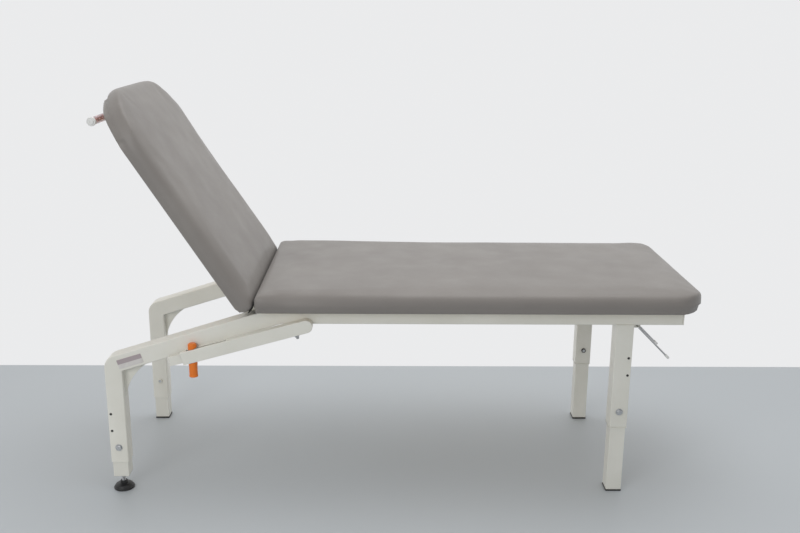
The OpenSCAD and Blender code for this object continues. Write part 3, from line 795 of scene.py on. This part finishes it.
# ---- Release grip ----
GUIDE_SLOPE = math.radians(15.5)
GUIDE_HALF = 18.5 * MM
GRIP_AXIS_Z = 427.7 * MM
GRIP_GAP = 0.9 * MM
CAP_LOWER = 4 * MM
CAP_RADIUS = 12.6 * MM
RING_REACH = 1 * MM


def follow_guide(bm, centre_x, level, reach, sign):
    """Slants the rings within reach of a level so that they run along the guide's upper or lower face."""
    face = GRIP_AXIS_Z + sign * (GUIDE_HALF / math.cos(GUIDE_SLOPE) + GRIP_GAP)
    for vertex in bm.verts:
        if abs(vertex.co.z - level) < reach:
            slant = (vertex.co.x - centre_x) * math.tan(GUIDE_SLOPE)
            vertex.co.z += face + slant - level


def make_grip():
    low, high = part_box("grip_sleeve")
    x, y = (low.x + high.x) / 2, (low.y + high.y) / 2
    radius = (high.x - low.x) / 2
    length = high.z - low.z
    bm = bmesh.new()
    foot = [(0, 1.2 * MM), (radius * 0.55, 1.2 * MM), (radius * 0.62, 0), (radius - 1.6 * MM, 0)]
    rim = [(radius - 0.3 * MM, 0.8 * MM), (radius, 2 * MM), (radius, 3.6 * MM), (radius - 0.7 * MM, 4.6 * MM)]
    waist = [(radius - 0.7 * MM, length - 5 * MM), (radius, length - 4 * MM), (radius, length - 0.6 * MM)]
    revolve(bm, foot + rim + waist + [(radius - 0.6 * MM, length), (0, length)], Vector((x, y, low.z)), Z, 56)
    follow_guide(bm, x, high.z, RING_REACH, -1)
    piece("grip_sleeve_shape", bm, "release_grip", "orange_plastic", ["grip_sleeve"])
    low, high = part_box("grip_cap")
    height = high.z - low.z - CAP_LOWER
    radius = CAP_RADIUS
    bm = bmesh.new()
    skirt = [(0, 0), (radius - 0.8 * MM, 0), (radius, 0.8 * MM), (radius, 7 * MM),
             (radius - 0.6 * MM, 8 * MM)]
    crown = [(radius - 1.2 * MM, 9.5 * MM), (radius * 0.78, height - 0.8 * MM), (radius * 0.72, height)]
    revolve(bm, skirt + crown + [(3 * MM, height), (2.6 * MM, height - 0.7 * MM), (0, height - 0.7 * MM)],
            Vector((x, y, low.z)), Z, 10, 0.25)
    follow_guide(bm, x, low.z, RING_REACH, 1)
    cap = piece("grip_cap_shape", bm, "release_grip", "orange_plastic", ["grip_cap"], crease=math.radians(20))
    rounded(cap, 0.7 * MM)


def guide_axes():
    """The release guide's direction along its length, and its up direction square to that."""
    along = Vector((math.cos(GUIDE_SLOPE), 0, math.sin(GUIDE_SLOPE)))
    up = Vector((-math.sin(GUIDE_SLOPE), 0, math.cos(GUIDE_SLOPE)))
    return along, up


def make_guide_details():
    face_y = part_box("release_guide")[0].y
    along, up = guide_axes()
    grip_low, grip_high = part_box("grip_post")
    at_grip = Vector(((grip_low.x + grip_high.x) / 2, face_y, GRIP_AXIS_Z))
    centre = at_grip + along * 80 * MM + up * 6 * MM
    ring = [centre + along * (7 * MM * math.cos(a)) + up * (3.6 * MM * math.sin(a))
            for a in (math.tau * i / 40 for i in range(40))]
    bm = bmesh.new()
    sweep(bm, ring, 0.55 * MM, 8, True)
    piece("guide_mark", bm, "frame", "frame_paint")
    bm = bmesh.new()
    bolt_low, bolt_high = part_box("guide_bolts")
    middle = (bolt_low + bolt_high) / 2
    top = Vector((middle.x, middle.y, bolt_high.z)) - up * 2.1 * MM
    revolve(bm, [(0, 0), (8 * MM, 0), (8 * MM, 1.5 * MM), (0, 1.5 * MM)], top, -up, 36)
    hex_head(bm, top - up * 1.5 * MM, -up, 7 * MM, 4.6 * MM)
    shank = [(0, 0), *threaded(4 * MM, 0, 6 * MM, 1.25 * MM), (0, 6.3 * MM)]
    revolve(bm, shank, top - up * 6 * MM, -up, 28)
    piece("guide_bolt_set", bm, "frame", "zinc_steel", ["guide_bolts"], crease=math.radians(24))
    low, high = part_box("release_spring")
    centre = (low + high) / 2
    length = (high.x - low.x) / math.cos(GUIDE_SLOPE) - 4 * MM
    bm = bmesh.new()
    sweep(bm, helix(centre - along * length / 2, along, 5.6 * MM, length, 26), 0.8 * MM, 8)
    coil = piece("release_coil", bm, "frame", "zinc_steel", ["release_spring"])
    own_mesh(coil)


# ---- Hinge shade strip: painted shade ----
SHADE_STRIP_R = (31.6 * MM, 32.8 * MM)
SHADE_STRIP_SPANS = ((-314 * MM, -217 * MM), (-177 * MM, 177 * MM), (217 * MM, 314 * MM))


def make_hinge_shade_strip():
    """Black strips bent round the hinge line, which close the gap between the two cushions: painted shade,
    standing for the shadow in that gap.
    """
    bm = bmesh.new()
    outline = arc(SHADE_STRIP_R[0], -60, 6, 16) + arc(SHADE_STRIP_R[1], 6, -60, 16)
    for start, end in SHADE_STRIP_SPANS:
        near, far = [[bm.verts.new((HINGE.x + u, y, HINGE.z + v)) for u, v in outline] for y in (start, end)]
        bm.faces.new(near)
        bm.faces.new(far[::-1])
        for i in range(len(outline)):
            j = (i + 1) % len(outline)
            bm.faces.new([near[i], far[i], far[j], near[j]])
    # The black here is painted shade in the hinge gap, not a real cover.
    piece("hinge_shade_strip", bm, "frame", "black_plastic")


# ---- Levelling foot ----
def make_levelling_foot():
    low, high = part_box("level_pad")
    base = Vector(((low.x + high.x) / 2, (low.y + high.y) / 2, 0))
    radius = (high.x - low.x) / 2
    bm = bmesh.new()
    under = [(0, 0.8 * MM), (radius - 5 * MM, 0.8 * MM), (radius - 4 * MM, 0), (radius - 1.6 * MM, 0)]
    rim = [(radius, 1.6 * MM), (radius, 4.4 * MM), (radius - 1.2 * MM, 6 * MM), (radius - 2.6 * MM, 6.4 * MM)]
    dome = [(11 * MM + 15.5 * MM * math.cos(a), 7 * MM + 9 * MM * math.sin(a))
            for a in (0.15, 0.5, 0.85, 1.2, 1.5)]
    collar = [(10.6 * MM, 16.6 * MM), (10.2 * MM, 22.8 * MM), (9.2 * MM, 24 * MM),
              (6 * MM, 24 * MM), (5.4 * MM, 23 * MM)]
    revolve(bm, under + rim + dome + collar + [(0, 23 * MM)], base, Z, 72)
    piece("levelling_pad_shape", bm, "levelling_pad", "black_plastic", ["level_pad"])
    low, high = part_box("level_stem")
    bm = bmesh.new()
    revolve(bm, [(0, 0), *threaded(5 * MM, 0, high.z - low.z - 2 * MM, 1.5 * MM), (0, high.z - low.z)],
            base + Z * low.z, Z, 32)
    piece("levelling_stem_shape", bm, "levelling_pad", "zinc_steel", ["level_stem"])
    low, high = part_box("level_nut")
    bm = bmesh.new()
    height = high.z - low.z
    ring = [(5.1 * MM, 0), (8.6 * MM, 0), (9.5 * MM, 0.9 * MM), (9.5 * MM, height - 0.9 * MM),
            (8.6 * MM, height)]
    revolve(bm, ring + [(5.1 * MM, height), (5.1 * MM, 0)], base + Z * low.z, Z, 6)
    bmesh.ops.remove_doubles(bm, verts=bm.verts, dist=0.001 * MM)
    piece("levelling_nut_shape", bm, "right_head_foot", "zinc_steel", ["level_nut"], crease=math.radians(24))


# ---- Gas spring ----
def make_gas_spring():
    low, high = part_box("gas_cylinder")
    centre_y, centre_z = (low.y + high.y) / 2, (low.z + high.z) / 2
    radius, length = (high.z - low.z) / 2, high.x - low.x
    start = Vector((low.x, centre_y, centre_z))
    bm = bmesh.new()
    nose = [(5.1 * MM, 0), (radius - 4 * MM, 0), (radius - 1.2 * MM, 1 * MM), (radius, 3 * MM)]
    groove = [(radius, 9 * MM), (radius - 0.9 * MM, 10 * MM), (radius - 0.9 * MM, 11.5 * MM),
              (radius, 12.5 * MM)]
    tail = [(radius, length - 4 * MM), (radius - 1.6 * MM, length - 1 * MM),
            (radius - 4 * MM, length), (0, length)]
    revolve(bm, [(0, 6 * MM), (5.1 * MM, 6 * MM), *nose, *groove, *tail], start, X, 48)
    piece("gas_cylinder_shape", bm, "frame", "black_steel", ["gas_cylinder"])
    low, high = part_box("gas_rod")
    start = Vector((low.x, centre_y, centre_z))
    bm = bmesh.new()
    thick, length = (high.z - low.z) / 2, high.x - low.x
    thread = threaded(thick, 0, 12 * MM, 1.25 * MM)
    shaft = [(thick, 13 * MM), (thick, length - 1 * MM), (thick - 0.6 * MM, length), (0, length)]
    revolve(bm, [(0, 0), *thread, *shaft], start, X, 40)
    piece("gas_rod_shape", bm, "gas_spring_rod", "chrome_steel", ["gas_rod"])


# ---- Rear bar ----
def make_rear_bar():
    centre = Vector(joints["bar_spin"]["pos_m"])
    low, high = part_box("rear_bar")
    half, radius = (high.y - low.y) / 2, (high.x - low.x) / 2
    base = Vector((centre.x, -half, centre.z))
    bm = bmesh.new()
    wall = 2.2 * MM
    tube = [(radius - wall, 0), (radius, 0), (radius, 2 * half), (radius - wall, 2 * half)]
    revolve(bm, tube + tube[:1], base, Y, 56)
    bmesh.ops.remove_doubles(bm, verts=bm.verts, dist=0.001 * MM)
    piece("bar_sleeve_tube", bm, "rear_bar", "bar_sleeve", ["rear_bar"])
    bm = bmesh.new()
    core = 4.4 * MM
    revolve(bm, [(0, 0), (core - 0.5 * MM, 0), (core, 0.6 * MM), (core, 2 * half - 0.6 * MM),
                 (core - 0.5 * MM, 2 * half), (0, 2 * half)], base, Y, 40)
    piece("bar_core", bm, "rear_bar", "bar_sleeve", material=RED_CORE)
    cap_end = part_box("bar_caps")[1].y
    bm = bmesh.new()
    for sign in (-1, 1):
        place = Vector((centre.x, sign * (half - 8 * MM), centre.z))
        reach = cap_end - (half - 8 * MM)
        skirt = [(radius + 0.1 * MM, 0), (radius + 1.1 * MM, 0), (radius + 1.5 * MM, 0.7 * MM),
                 (radius + 1.5 * MM, 8.6 * MM)]
        face = [(radius + 0.6 * MM, 10 * MM), (radius - 1.6 * MM, 10 * MM), (radius - 2 * MM, 9.5 * MM),
                (radius - 3 * MM, 9.5 * MM), (radius - 3.4 * MM, reach), (3 * MM, reach),
                (2.4 * MM, reach - 1.2 * MM)]
        inner = [(0, reach - 1.2 * MM), (0, 8.1 * MM), (radius + 0.1 * MM, 8.1 * MM), (radius + 0.1 * MM, 0)]
        revolve(bm, skirt + face + inner, place, Y * sign, 56)
    bmesh.ops.remove_doubles(bm, verts=bm.verts, dist=0.001 * MM)
    piece("bar_cap_set", bm, "rear_bar", "white_plastic", ["bar_caps"])


# ---- Foot hanger ----
def make_hanger():
    pivot = Vector(joints["hanger_hinge"]["pos_m"])
    low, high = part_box("wire_hanger")
    radius = 2.5 * MM
    near, far = low.y + radius, high.y - radius
    prong = Vector((1, 0, -1)).normalized()
    length = 129 * MM
    bend = 7 * MM
    path = [Vector((pivot.x, near, pivot.z)) + prong * length]
    for y, inward in ((near, 1), (far, -1)):
        corner = Vector((pivot.x, y, pivot.z))
        centre = corner + prong * bend + Y * inward * bend
        turn = [centre - Y * inward * c - prong * s for c, s in arc(bend, 0, 90)]
        path += turn if inward > 0 else turn[::-1]
    path.append(Vector((pivot.x, far, pivot.z)) + prong * length)
    bm = bmesh.new()
    sweep(bm, path, radius, 16)
    piece("hanger_wire", bm, "hanger", "chrome_steel", ["wire_hanger"])
    bm = bmesh.new()
    for y in (near, far):
        base = Vector((pivot.x, y, pivot.z)) + prong * (length - 12 * MM)
        outer = radius + 1.2 * MM
        tip = [(outer * math.cos(a), 12.6 * MM + 2.4 * MM * math.sin(a)) for a in (0, 0.4, 0.8, 1.2)]
        sleeve = [(radius, 0), (outer - 0.2 * MM, 0), (outer, 0.5 * MM)]
        revolve(bm, [*sleeve, *tip, (0, 15 * MM)], base, prong, 28)
    piece("hanger_tips", bm, "hanger", "white_plastic", ["wire_tips"])
    low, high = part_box("hanger_spring")
    bm = bmesh.new()
    start = Vector((pivot.x, low.y + 1 * MM, pivot.z))
    sweep(bm, helix(start, Y, 3.7 * MM, high.y - low.y - 2 * MM, 14), 0.8 * MM, 8)
    piece("hanger_coil", bm, "frame", "zinc_steel", ["hanger_spring"])


# ---- Staples under the boards ----
def make_staples():
    """Staples that hold the cover's edge to the rim of each board, a row along each long side."""
    for name, board, body, place in (("seat_staples", "seat_board", "frame", Matrix.Identity(4)),
                                     ("back_staples", "back_board", "backrest", TO_RAISED)):
        flat = [place.inverted() @ v.co for v in nodes[board].data.vertices]
        low = Vector(min(p[i] for p in flat) for i in range(3))
        high = Vector(max(p[i] for p in flat) for i in range(3))
        bm = bmesh.new()
        inner = 190 * MM if board == "back_board" else 100 * MM
        count = int((high.x - low.x - 2 * inner) / (42 * MM))
        for y in (low.y + 7 * MM, high.y - 7 * MM):
            for i in range(count + 1):
                x = low.x + inner + i * 42 * MM
                lean = 1.2 * MM * noise.noise(Vector((x * 40, y * 40, 3)))
                crown, feet = low.z - 0.35 * MM, low.z + 1 * MM
                ends = [Vector((x + u * 5 * MM, y - u * lean, z))
                        for u, z in ((-1, feet), (-1, crown), (1, crown), (1, feet))]
                sweep(bm, ends, 0.45 * MM, 6)
        bm.transform(place)
        piece(name, bm, body, "zinc_steel")


# ---- Stage ----
WALL_Y = 0.728
FLOOR = (-4.5, -4.5, 4.5)


def make_stage():
    """A pale blue-grey floor that ends where the studio wall starts, under soft light from above."""
    bm = bmesh.new()
    corners = [(FLOOR[0], FLOOR[1]), (FLOOR[2], FLOOR[1]), (FLOOR[2], WALL_Y), (FLOOR[0], WALL_Y)]
    bm.faces.new([bm.verts.new((x, y, 0)) for x, y in corners])
    floor = object_from("floor", bm)
    m = Recipe("floor")
    m.color(m.blend(m.spread(m.noise(1.5, 3), 0, 1), (0.475, 0.505, 0.525), (0.50, 0.53, 0.55)))
    m.rough(m.spread(m.noise(3, 3), 0.42, 0.55))
    floor.data.materials.append(m.material)
    world = bpy.data.worlds.new("studio")
    world.use_nodes = True
    tree = world.node_tree
    ray = tree.nodes.new("ShaderNodeTexCoord")
    split = tree.nodes.new("ShaderNodeSeparateXYZ")
    towards_wall = tree.nodes.new("ShaderNodeMapRange")
    towards_wall.interpolation_type = "SMOOTHSTEP"
    for socket, value in (("From Min", -0.7), ("From Max", 0.35), ("To Min", 0.50), ("To Max", 0.84)):
        towards_wall.inputs[socket].default_value = value
    background = tree.nodes["Background"]
    background.inputs["Color"].default_value = (0.985, 0.99, 1.0, 1)
    tree.links.new(ray.outputs["Generated"], split.inputs["Vector"])
    tree.links.new(split.outputs["Y"], towards_wall.inputs["Value"])
    tree.links.new(towards_wall.outputs["Result"], background.inputs["Strength"])
    bpy.context.scene.world = world
    bpy.context.scene.view_settings.view_transform = "Standard"
    for name, place, aim, size, power in (("overhead", (0.3, 0.3, 3.2), (0.1, 0, 0.5), 2.4, 28),
                                          ("front", (-1.9, -3.2, 1.7), (-0.3, 0, 0.2), 2.0, 32)):
        data = bpy.data.lights.new(name, "AREA")
        data.shape = "SQUARE"
        data.size = size
        data.energy = power
        light = bpy.data.objects.new(name, data)
        light.location = place
        light.rotation_euler = (Vector(aim) - Vector(place)).to_track_quat("-Z", "Y").to_euler()
        bpy.context.scene.collection.objects.link(light)


# ---- Everything ----
make_camera()
make_stage()
for name, node in nodes.items():
    node.data.materials.clear()
    node.data.materials.append(MATERIALS[slot_of_node[name]])
for side in ("right", "left"):
    welded_side(side)
for name, radius in EDGE_RADII.items():
    refined(name, radius * MM)
make_cushions()
make_leg_fastenings()
make_under_screws()
make_welds()
make_grip()
make_guide_details()
make_hinge_shade_strip()
make_levelling_foot()
make_gas_spring()
make_rear_bar()
make_hanger()
make_staples()
